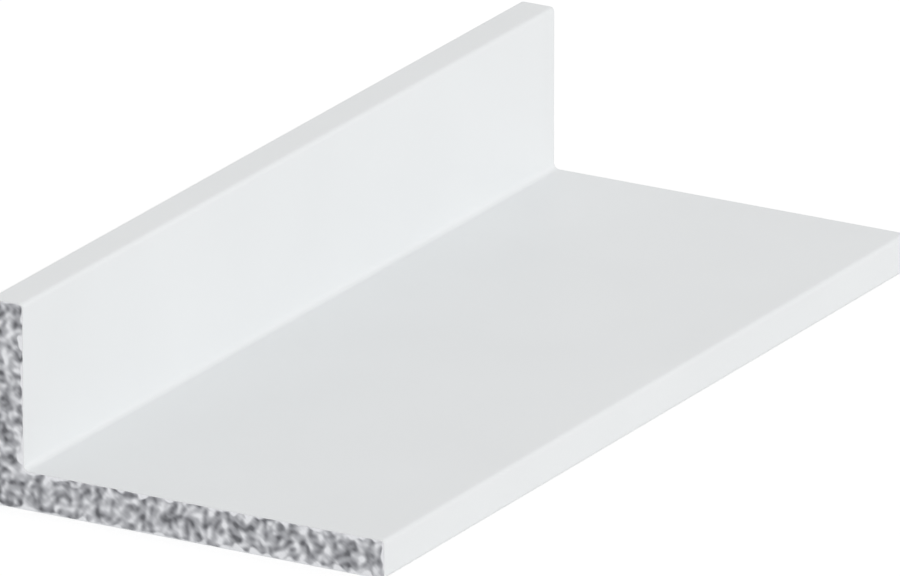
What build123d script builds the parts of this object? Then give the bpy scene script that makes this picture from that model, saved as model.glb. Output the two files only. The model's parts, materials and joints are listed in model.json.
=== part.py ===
from build123d import *
import os

# Unequal angle trim: one straight extruded length of aluminium, sawn square at both ends.
# X runs across the wide leg from heel to toe, Y along the length, and Z up the narrow leg.
# The origin is on the underside, midway across the wide leg and midway along the length.

# Driving dimensions, in millimetres
WIDE_LEG = 20.0  # width of the flat leg, measured over the heel
NARROW_LEG = 9.5  # height of the upright leg, measured over the heel
WALL = 1.8  # thickness of both legs
LENGTH = 47.0  # between the two sawn ends
ROOT_RADIUS = 0.3  # fillet in the inside corner, where the legs meet
ARRIS_RADIUS = 0.2  # rounding of the heel and of both corners of each toe


def trim_section() -> Sketch:
    """The L-shaped opening of the extrusion die, drawn sharp and then radiused."""
    heel = -WIDE_LEG / 2
    toe = WIDE_LEG / 2
    root = (heel + WALL, WALL)
    outline = Polyline(
        (heel, 0),
        (toe, 0),
        (toe, WALL),
        root,
        (heel + WALL, NARROW_LEG),
        (heel, NARROW_LEG),
        close=True,
    )
    sharp = make_face(outline)
    arrises = sharp.vertices().sort_by_distance(root)[1:]
    eased = fillet(arrises, ARRIS_RADIUS)
    root_corner = eased.vertices().sort_by_distance(root)[0]
    return fillet(root_corner, ROOT_RADIUS)


def trim_angle() -> Part:
    """The section stood up in the XZ plane and extruded half the length each way along Y."""
    return extrude(Plane.XZ * trim_section(), amount=LENGTH / 2, both=True)


os.makedirs("parts", exist_ok=True)
export_step(trim_angle(), "parts/trim_angle.step")
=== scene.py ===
"""A short length of white powder-coated aluminium trim angle, lying on a pale studio floor.

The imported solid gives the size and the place. The bar is modelled here with its finish: the coat
covers the extruded faces, and at both sawn ends it stops at a thin rim round the torn bare metal.
"""

import json
import math
import random

import bpy
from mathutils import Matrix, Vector, geometry, kdtree, noise


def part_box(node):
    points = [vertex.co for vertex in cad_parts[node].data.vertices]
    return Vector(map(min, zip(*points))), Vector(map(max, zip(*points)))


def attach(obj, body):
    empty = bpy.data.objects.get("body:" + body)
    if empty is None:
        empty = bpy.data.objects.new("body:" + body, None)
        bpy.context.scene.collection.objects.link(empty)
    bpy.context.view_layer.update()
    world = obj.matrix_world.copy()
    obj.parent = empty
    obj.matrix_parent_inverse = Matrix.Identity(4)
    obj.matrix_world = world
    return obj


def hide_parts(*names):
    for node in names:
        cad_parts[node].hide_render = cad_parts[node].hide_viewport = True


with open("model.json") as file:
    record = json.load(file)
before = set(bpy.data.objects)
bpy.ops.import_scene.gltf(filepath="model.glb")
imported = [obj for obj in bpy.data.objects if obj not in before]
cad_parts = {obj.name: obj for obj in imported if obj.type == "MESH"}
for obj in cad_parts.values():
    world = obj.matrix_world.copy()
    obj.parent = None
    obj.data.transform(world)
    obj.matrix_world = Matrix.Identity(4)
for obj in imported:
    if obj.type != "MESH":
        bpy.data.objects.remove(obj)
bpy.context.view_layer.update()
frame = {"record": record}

MM = 0.001  # the bar's lengths below are in millimetres, and Blender's objects are in metres

# The bar's sizes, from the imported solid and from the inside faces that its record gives
LOW, HIGH = (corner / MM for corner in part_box("trim_angle"))
FACE_AT = {mount["name"]: Vector(mount["pos_m"]) / MM for mount in frame["record"]["mounts"]}
HEEL_X, TOE_X = LOW.x, HIGH.x
NEAR_Y, FAR_Y = LOW.y, HIGH.y
BASE_Z, TOP_Z = LOW.z, HIGH.z
INSIDE_X = FACE_AT["inside_narrow_face"].x
INSIDE_Z = FACE_AT["inside_wide_face"].z
WALL = INSIDE_Z - BASE_Z
ROOT_RADIUS = 0.3
ARRIS_RADIUS = 0.2
ARC_STEPS = 8
SHARP_ANGLE = math.radians(60)  # faces that meet at more than this keep a crisp edge
COATED, BARE = 0, 1  # the places of the two finishes on the mesh

# The sawn ends
COAT_THICKNESS = 0.03  # of the cured powder, seen as a rim round the bare metal
NICK_DEPTH = 0.025  # how far the saw's teeth nick that rim to and fro
NICK_SPACING = 0.35  # between the nicks
CHIP_SPACING = 0.3  # between the middles of the chips of metal that the teeth tear at
CHIP_SIZE = (0.17, 0.085)  # along and across a chip, from its middle to its steepest slope
CHIP_REACH = 0.5  # from a chip's middle to where next to nothing of it is left
CHIP_SHARE = 0.34  # of the full depth of a pit, that one chip digs out or fills up
PIT_DEPTH = 0.045  # of the deepest pits, below the saw cut
PIT_EASE = 0.15  # over which they get shallower towards the rim, which lies level with the cut
SMEAR_SIZE = 0.5  # of the places where the metal is smeared level and bright beside the coat
SMEAR_WIDTH = 0.4  # more of it widens every smear
SMEAR_RARITY = 0.05  # more of it leaves fewer and narrower smears
SMEAR_FADE = 0.12  # over which a smear gives way to the torn chips
SAW_STROKE = Vector((0.8, -0.6))  # the way the saw came through the section
SCRATCH_SIZE = (0.3, 0.03)  # of the teeth's scratches, along and across the saw's stroke
SCRATCH_DEPTH = 0.006
SCRATCH_SHARE = 0.3  # of the metal's tone, where the pits have the rest
RIM_STEP = 0.1  # between the mesh points round the section
GRAIN_STEP = 0.04  # between the mesh points over a sawn end

# The number that sets each end's chance, for its chips and its smears
NEAR_END, FAR_END = 2, 9

# The camera and the light
CAMERA_AZIMUTH = math.radians(29.8)
CAMERA_ELEVATION = math.radians(19.2)
CAMERA_DISTANCE = 1.109  # metres
CAMERA_AIM = Vector((-0.84, 1.16, 4.09)) * MM
CAMERA_LENS = 1000
SKY_LIGHT = 0.72
KEY_LIGHT = 1.13
KEY_DIRECTION = Vector((-0.93, 0.32, -0.17))
KEY_SOFTNESS = math.radians(50)
FLOOR_SIZE = 6.0  # metres
FLOOR_GLOW = 0.72  # what makes the floor's lit grey up to white where nothing shades it

# The flat layout of the bar's faces on a square sheet, for a texture
SHEET_MARGIN = 0.01
SHEET_GAP = 0.5  # between the two ends, which lie in each other's inside angle
SIDES_FROM = 0.55  # of the sheet's height


def linear(hex_colour):
    """An sRGB colour such as "#F0F1F2" as linear red, green, blue and alpha."""
    shares = [int(hex_colour[i : i + 2], 16) / 255 for i in (1, 3, 5)]
    return [s / 12.92 if s <= 0.04045 else ((s + 0.055) / 1.055) ** 2.4 for s in shares] + [1]


def per_metre(size):
    """How often a pattern of a size in millimetres repeats in a metre, as a texture's scale."""
    return 1 / (size * MM)


def add(tree, kind, inputs, **settings):
    """Adds a node with its settings. Each of its inputs is a value or the socket that feeds it."""
    node = tree.nodes.new(kind)
    for name, value in settings.items():
        setattr(node, name, value)
    for name, value in inputs.items():
        if isinstance(value, bpy.types.NodeSocket):
            tree.links.new(value, node.inputs[name])
        else:
            node.inputs[name].default_value = value
    return node


def new_material(name):
    material = bpy.data.materials.new(name)
    material.use_nodes = True
    material.node_tree.nodes.clear()
    return material, material.node_tree


def white_powder_coat():
    """Polyester powder, sprayed on the extruded aluminium and cured in an oven.

    It gives the eye an even, slightly cool white with a satin sheen. Orange peel ripples it, the
    odd clump of powder speckles it, and the die's lines in the metal below just show through. All
    three are drawn deeper than they are, so that they show at this size.
    """
    material, tree = new_material("white_polyester_powder_coat")
    place = add(tree, "ShaderNodeTexCoord", {}).outputs["Object"]
    # Thicker and thinner places 6 mm across, peel 0.8 mm across and powder clumps of 0.2 mm
    clouds, peel, powder = (
        add(tree, "ShaderNodeTexNoise", {"Vector": place, "Scale": per_metre(size), "Detail": 1.0})
        for size in (6.0, 0.8, 0.2)
    )
    # Die lines half a millimetre apart, each about 40 mm long
    across, along = per_metre(0.5), per_metre(40.0)
    stretched = add(tree, "ShaderNodeMapping", {"Vector": place, "Scale": (across, along, across)})
    lines = add(
        tree,
        "ShaderNodeTexNoise",
        {"Vector": stretched.outputs["Vector"], "Scale": 1.0, "Detail": 2.0},
    )
    white = add(
        tree,
        "ShaderNodeMix",
        {"Factor": clouds.outputs["Fac"], "A": linear("#EDEFF0"), "B": linear("#F1F3F4")},
        data_type="RGBA",
    )
    sheen = add(
        tree,
        "ShaderNodeMapRange",
        {"Value": powder.outputs["Fac"], "To Min": 0.36, "To Max": 0.5},
    )
    line_relief = add(
        tree,
        "ShaderNodeBump",
        {"Height": lines.outputs["Fac"], "Strength": 1.0, "Distance": 0.003 * MM},
    )
    peel_relief = add(
        tree,
        "ShaderNodeBump",
        {
            "Height": peel.outputs["Fac"],
            "Strength": 1.0,
            "Distance": 0.01 * MM,
            "Normal": line_relief.outputs["Normal"],
        },
    )
    powder_relief = add(
        tree,
        "ShaderNodeBump",
        {
            "Height": powder.outputs["Fac"],
            "Strength": 1.0,
            "Distance": 0.002 * MM,
            "Normal": peel_relief.outputs["Normal"],
        },
    )
    coat = add(
        tree,
        "ShaderNodeBsdfPrincipled",
        {
            "Base Color": white.outputs["Result"],
            "Roughness": sheen.outputs["Result"],
            "IOR": 1.5,
            "Normal": powder_relief.outputs["Normal"],
        },
    )
    add(tree, "ShaderNodeOutputMaterial", {"Surface": coat.outputs["BSDF"]})
    return material


def sawn_bare_aluminium():
    """Aluminium cut through with a coarse saw and left bare.

    The teeth tear chips out of the metal, so bright burnished crests stand among dull pits, and
    scratches run over both along the saw's stroke. The tone and the dullness follow the mesh's own
    pits: the tone darkens into them partly as painted shade and partly as the grit and oxide that
    the teeth leave there. The scratches are drawn several times as coarse as they are, to show from
    close by.
    """
    material, tree = new_material("sawn_bare_aluminium")
    place = add(tree, "ShaderNodeTexCoord", {}).outputs["Object"]
    pit = add(tree, "ShaderNodeAttribute", {}, attribute_name="pit").outputs["Fac"]
    along, across = (size * MM for size in SCRATCH_SIZE)
    along_stroke = add(
        tree,
        "ShaderNodeMapping",
        {
            "Vector": place,
            "Rotation": (0, math.atan2(-SAW_STROKE.y, SAW_STROKE.x), 0),
            "Scale": (along, along, across),
        },
        vector_type="TEXTURE",
    )
    scratches = add(
        tree,
        "ShaderNodeTexNoise",
        {"Vector": along_stroke.outputs["Vector"], "Scale": 1.0, "Detail": 2.0},
    ).outputs["Fac"]
    # The deeper the pit, the darker the metal is painted: partly painted shade, partly grit and oxide
    pit_shade_and_scratches = add(tree, "ShaderNodeMix", {"Factor": SCRATCH_SHARE, "A": pit, "B": scratches})
    tone = add(tree, "ShaderNodeValToRGB", {"Fac": pit_shade_and_scratches.outputs["Result"]})
    # Crest, half-way and deepest pit (painted shade and grit), where the scratches have their middle
    # depth
    positions = (SCRATCH_SHARE / 2, 0.5, 1 - SCRATCH_SHARE / 2)
    colours = ("#E2E3E6", "#AEAFB3", "#737478")
    stops = tone.color_ramp.elements
    stops.new(0.5)
    for stop, position, colour in zip(stops, positions, colours):
        stop.position = position
        stop.color = linear(colour)
    dullness = add(tree, "ShaderNodeMapRange", {"Value": pit, "To Min": 0.4, "To Max": 0.7})
    relief = add(
        tree,
        "ShaderNodeBump",
        {"Height": scratches, "Strength": 1.0, "Distance": SCRATCH_DEPTH * MM},
    )
    metal = add(
        tree,
        "ShaderNodeBsdfPrincipled",
        {
            "Base Color": tone.outputs["Color"],
            "Metallic": 1.0,
            "Roughness": dullness.outputs["Result"],
            "Normal": relief.outputs["Normal"],
        },
    )
    add(tree, "ShaderNodeOutputMaterial", {"Surface": metal.outputs["BSDF"]})
    return material


def section_outline():
    """The L of the section, counter-clockwise from the heel, with an arc at each corner."""
    corners = [
        (Vector((HEEL_X, BASE_Z)), ARRIS_RADIUS),
        (Vector((TOE_X, BASE_Z)), ARRIS_RADIUS),
        (Vector((TOE_X, INSIDE_Z)), ARRIS_RADIUS),
        (Vector((INSIDE_X, INSIDE_Z)), ROOT_RADIUS),
        (Vector((INSIDE_X, TOP_Z)), ARRIS_RADIUS),
        (Vector((HEEL_X, TOP_Z)), ARRIS_RADIUS),
    ]
    bends = []
    for i, (corner, radius) in enumerate(corners):
        back = (corners[i - 1][0] - corner).normalized()
        ahead = (corners[(i + 1) % len(corners)][0] - corner).normalized()
        centre = corner + (back + ahead) * radius
        for step in range(ARC_STEPS + 1):
            turn = math.pi / 2 * step / ARC_STEPS
            bends.append(centre - (ahead * math.cos(turn) + back * math.sin(turn)) * radius)
    outline = []
    for start, end in zip(bends, bends[1:] + bends[:1]):
        steps = max(1, round((end - start).length / RIM_STEP))
        outline += [start.lerp(end, step / steps) for step in range(steps)]
    return outline


def coat_rim(outline):
    """Where the coat ends on a sawn face: its thickness in from the outline, nicked by the teeth."""
    rim = []
    for i, point in enumerate(outline):
        along = outline[(i + 1) % len(outline)] - outline[i - 1]
        inward = Vector((-along.y, along.x)).normalized()
        nick = noise.noise(point.to_3d() / NICK_SPACING)
        rim.append(point + inward * (COAT_THICKNESS + NICK_DEPTH * nick))
    return rim


def depth_in_section(point):
    """How far a point lies inside the section's edges, with the corners taken as sharp."""
    x, z = point
    in_wide_leg = min(x - HEEL_X, TOE_X - x, z - BASE_Z, INSIDE_Z - z)
    in_narrow_leg = min(x - HEEL_X, INSIDE_X - x, z - BASE_Z, TOP_Z - z)
    return max(in_wide_leg, in_narrow_leg)


def eased(distance, full):
    """Rises evenly from 0 where there is no distance to 1 at the full one."""
    return min(max(distance / full, 0), 1)


def grain_points():
    """Points of a triangle grid over the bare metal, clear of the coat's rim."""
    clear_of_rim = COAT_THICKNESS + NICK_DEPTH + GRAIN_STEP / 2
    row_step = GRAIN_STEP * math.sqrt(3) / 2
    points = []
    for row in range(int((TOP_Z - BASE_Z) / row_step) + 1):
        z = BASE_Z + row * row_step
        for column in range(int((TOE_X - HEEL_X) / GRAIN_STEP) + 1):
            x = HEEL_X + (column + row % 2 / 2) * GRAIN_STEP
            point = Vector((x, z))
            if depth_in_section(point) > clear_of_rim:
                points.append(point)
    return points


def end_triangles(flat, around):
    """Triangles over a sawn end, from its outline, its rim and its grain points, in that order.

    Each comes with its finish: bare metal inside the rim, and the coat outside it.
    """
    outline, rim = list(range(around)), list(range(around, 2 * around))
    rim_loop, inside_only, same_point = 1, 1, 1e-6
    made = geometry.delaunay_2d_cdt(flat, [], [outline, rim], inside_only, same_point)
    triangles, sources, loops_round = made[2], made[3], made[5]
    given = [source[0] for source in sources]
    return [
        ([given[corner] for corner in triangle], BARE if rim_loop in loops else COATED)
        for triangle, loops in zip(triangles, loops_round)
    ]


def chips_of_end(end):
    """The chips of an end: the middle of each, the way it lies, and how deep it is.

    The teeth tear out a chip that is softer than those round it, and leave a harder one standing.
    """
    draw = random.Random(end)
    rows = range(-1, int((TOP_Z - BASE_Z) / CHIP_SPACING) + 2)
    columns = range(-1, int((TOE_X - HEEL_X) / CHIP_SPACING) + 2)
    softness = {(row, column): draw.random() for row in rows for column in columns}
    chips = []
    for (row, column), soft in softness.items():
        x = HEEL_X + (column + draw.random()) * CHIP_SPACING
        z = BASE_Z + (row + draw.random()) * CHIP_SPACING
        turn = draw.uniform(0, math.pi)
        way = Vector((math.cos(turn), math.sin(turn)))
        places = [(row + up, column + aside) for up in (-1, 0, 1) for aside in (-1, 0, 1)]
        around = [softness[place] for place in places if place in softness]
        torn_out = soft > sum(around) / len(around)
        chips.append((Vector((x, z)), way, CHIP_SHARE if torn_out else -CHIP_SHARE))
    return chips


def chip_finder(chips):
    """A search tree that gives the numbers of the chips near a point."""
    finder = kdtree.KDTree(len(chips))
    for number, (middle, _, _) in enumerate(chips):
        finder.insert(middle.to_3d(), number)
    finder.balance()
    return finder


def torn_at(point, chips, finder):
    """How deep the chips round a point leave the metal torn, from 0 on the crests to 1 in the pits."""
    torn = 0.5  # where the chips dig out as much as they fill up
    for _, number, _ in finder.find_range(point.to_3d(), CHIP_REACH):
        middle, way, depth = chips[number]
        off = point - middle
        along, across = off.dot(way) / CHIP_SIZE[0], off.cross(way) / CHIP_SIZE[1]
        torn += depth * math.exp(-(along**2 + across**2) / 2)
    return min(max(torn, 0), 1)


def clear_of_smears(point, end):
    """0 at a point where the metal is smeared level beside the coat, and 1 where it is torn."""
    on_stroke = Vector((point.dot(SAW_STROKE), point.cross(SAW_STROKE), end))
    smear = SMEAR_WIDTH * (noise.noise(on_stroke / SMEAR_SIZE) - SMEAR_RARITY)
    return eased(depth_in_section(point) - COAT_THICKNESS - smear, SMEAR_FADE)


def sawn_end(flat, end, end_y, inward):
    """The points of an end, sunk where the metal is torn, and the pit at each from 0 to 1."""
    chips = chips_of_end(end)
    finder = chip_finder(chips)
    points, pits = [], []
    for point in flat:
        pit = torn_at(point, chips, finder) * clear_of_smears(point, end)
        ease = eased(depth_in_section(point) - COAT_THICKNESS - NICK_DEPTH, PIT_EASE)
        y = end_y + inward * pit * PIT_DEPTH * ease
        points.append(Vector((point.x, y, point.y)) * MM)
        pits.append(pit)
    return points, pits


def near_end_on_sheet(point):
    scale = (1 - 2 * SHEET_MARGIN) / (TOE_X - HEEL_X + WALL + SHEET_GAP)
    return SHEET_MARGIN + (point.x - HEEL_X) * scale, SHEET_MARGIN + (point.y - BASE_Z) * scale


def far_end_on_sheet(point):
    """As the near end, turned half round so that each L lies in the other's inside angle."""
    turn = Vector((HEEL_X + TOE_X + WALL + SHEET_GAP, BASE_Z + TOP_Z + WALL + SHEET_GAP))
    return near_end_on_sheet(turn - point)


def side_on_sheet(place, around):
    """The four corners of a strip of the coated sides, which stand side by side above the ends."""
    left, right = (
        SHEET_MARGIN + (1 - 2 * SHEET_MARGIN) * edge / around for edge in (place, place + 1)
    )
    top = 1 - SHEET_MARGIN
    return [(left, SIDES_FROM), (left, top), (right, top), (right, SIDES_FROM)]


def bar_faces(flat, around):
    """The faces of both ends and of the sides between them, with the finish of each.

    The places of all their corners on the sheet come last, in the same order.
    """
    far = len(flat)
    faces, finishes, sheet = [], [], []
    for triangle, finish in end_triangles(flat, around):
        turned = triangle[::-1]
        faces += [triangle, [far + corner for corner in turned]]
        finishes += [finish, finish]
        sheet += [near_end_on_sheet(flat[corner]) for corner in triangle]
        sheet += [far_end_on_sheet(flat[corner]) for corner in turned]
    for place in range(around):
        beside = (place + 1) % around
        faces.append([place, far + place, far + beside, beside])
        finishes.append(COATED)
        sheet += side_on_sheet(place, around)
    return faces, finishes, sheet


def trim_angle(coat, bare):
    """The whole bar: the coated faces between the two outlines, and a sawn end at each."""
    outline = section_outline()
    flat = outline + coat_rim(outline) + grain_points()
    near_points, near_pits = sawn_end(flat, NEAR_END, NEAR_Y, inward=1)
    far_points, far_pits = sawn_end(flat, FAR_END, FAR_Y, inward=-1)
    faces, finishes, sheet = bar_faces(flat, len(outline))

    mesh = bpy.data.meshes.new("coated_trim_angle")
    mesh.from_pydata(near_points + far_points, [], faces)
    mesh.materials.append(coat)
    mesh.materials.append(bare)
    mesh.polygons.foreach_set("material_index", finishes)
    mesh.attributes.new("pit", "FLOAT", "POINT").data.foreach_set("value", near_pits + far_pits)
    mesh.uv_layers.new(name="OFBake").data.foreach_set("uv", [share for spot in sheet for share in spot])
    mesh.shade_smooth()
    mesh.set_sharp_from_angle(angle=SHARP_ANGLE)
    bar = bpy.data.objects.new("coated_trim_angle", mesh)
    bpy.context.scene.collection.objects.link(bar)
    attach(bar, "root")
    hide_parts("trim_angle")


def seen_directly(tree):
    """1 for a ray that the camera sees, straight or mirrored or through glass, and 0 for lighting."""
    path = add(tree, "ShaderNodeLightPath", {}).outputs
    seen = path["Is Camera Ray"]
    for kind in ("Is Glossy Ray", "Is Transmission Ray"):
        seen = add(tree, "ShaderNodeMath", {0: seen, 1: path[kind]}, operation="MAXIMUM").outputs[0]
    return seen


def white_floor():
    """A pale floor that looks white to the edge of the picture and keeps the bar's soft shadow.

    Seen directly, it is a lit grey with a glow that makes it up to white, so the shadow can take
    away the grey alone.
    """
    material, tree = new_material("white_studio_floor")
    lit = add(tree, "ShaderNodeBsdfDiffuse", {"Color": linear("#E6E6E6")})
    shaded = add(tree, "ShaderNodeBsdfDiffuse", {"Color": linear("#AAAAAA")})
    glow = add(tree, "ShaderNodeEmission", {"Strength": FLOOR_GLOW})
    white = add(tree, "ShaderNodeAddShader", {0: shaded.outputs[0], 1: glow.outputs[0]})
    floor = add(
        tree,
        "ShaderNodeMixShader",
        {"Fac": seen_directly(tree), 1: lit.outputs[0], 2: white.outputs[0]},
    )
    add(tree, "ShaderNodeOutputMaterial", {"Surface": floor.outputs[0]})
    half = FLOOR_SIZE / 2
    corners = [(-half, -half, 0), (half, -half, 0), (half, half, 0), (-half, half, 0)]
    mesh = bpy.data.meshes.new("studio_floor")
    mesh.from_pydata(corners, [], [(0, 1, 2, 3)])
    mesh.materials.append(material)
    plane = bpy.data.objects.new("studio_floor", mesh)
    bpy.context.scene.collection.objects.link(plane)


def soft_light():
    """An even white sky, and one broad low key light from the toe's side, a little to the near end."""
    world = bpy.data.worlds.new("white_studio")
    bpy.context.scene.world = world
    world.use_nodes = True
    tree = world.node_tree
    tree.nodes.clear()
    strength = add(
        tree,
        "ShaderNodeMapRange",
        {"Value": seen_directly(tree), "To Min": SKY_LIGHT, "To Max": 1.0},
    )
    sky = add(
        tree,
        "ShaderNodeBackground",
        {"Color": linear("#FFFFFF"), "Strength": strength.outputs["Result"]},
    )
    add(tree, "ShaderNodeOutputWorld", {"Surface": sky.outputs[0]})
    lamp = bpy.data.lights.new("key_light", "SUN")
    lamp.energy = KEY_LIGHT
    lamp.angle = KEY_SOFTNESS
    key = bpy.data.objects.new("key_light", lamp)
    key.rotation_mode = "QUATERNION"
    key.rotation_quaternion = KEY_DIRECTION.to_track_quat("-Z", "Y")
    bpy.context.scene.collection.objects.link(key)


def camera():
    """Long and far off, because edges that are parallel on the bar are parallel in the picture."""
    lens = bpy.data.cameras.new("camera")
    lens.lens = CAMERA_LENS
    lens.clip_start = CAMERA_DISTANCE / 10
    lens.clip_end = CAMERA_DISTANCE * 10
    level = math.cos(CAMERA_ELEVATION)
    back = Vector((
        math.sin(CAMERA_AZIMUTH) * level,
        -math.cos(CAMERA_AZIMUTH) * level,
        math.sin(CAMERA_ELEVATION),
    ))
    eye = bpy.data.objects.new("camera", lens)
    eye.location = CAMERA_AIM + back * CAMERA_DISTANCE
    eye.rotation_mode = "QUATERNION"
    eye.rotation_quaternion = (-back).to_track_quat("-Z", "Y")
    bpy.context.scene.collection.objects.link(eye)
    bpy.context.scene.camera = eye


bpy.context.scene.view_settings.view_transform = "Standard"
trim_angle(white_powder_coat(), sawn_bare_aluminium())
white_floor()
soft_light()
camera()
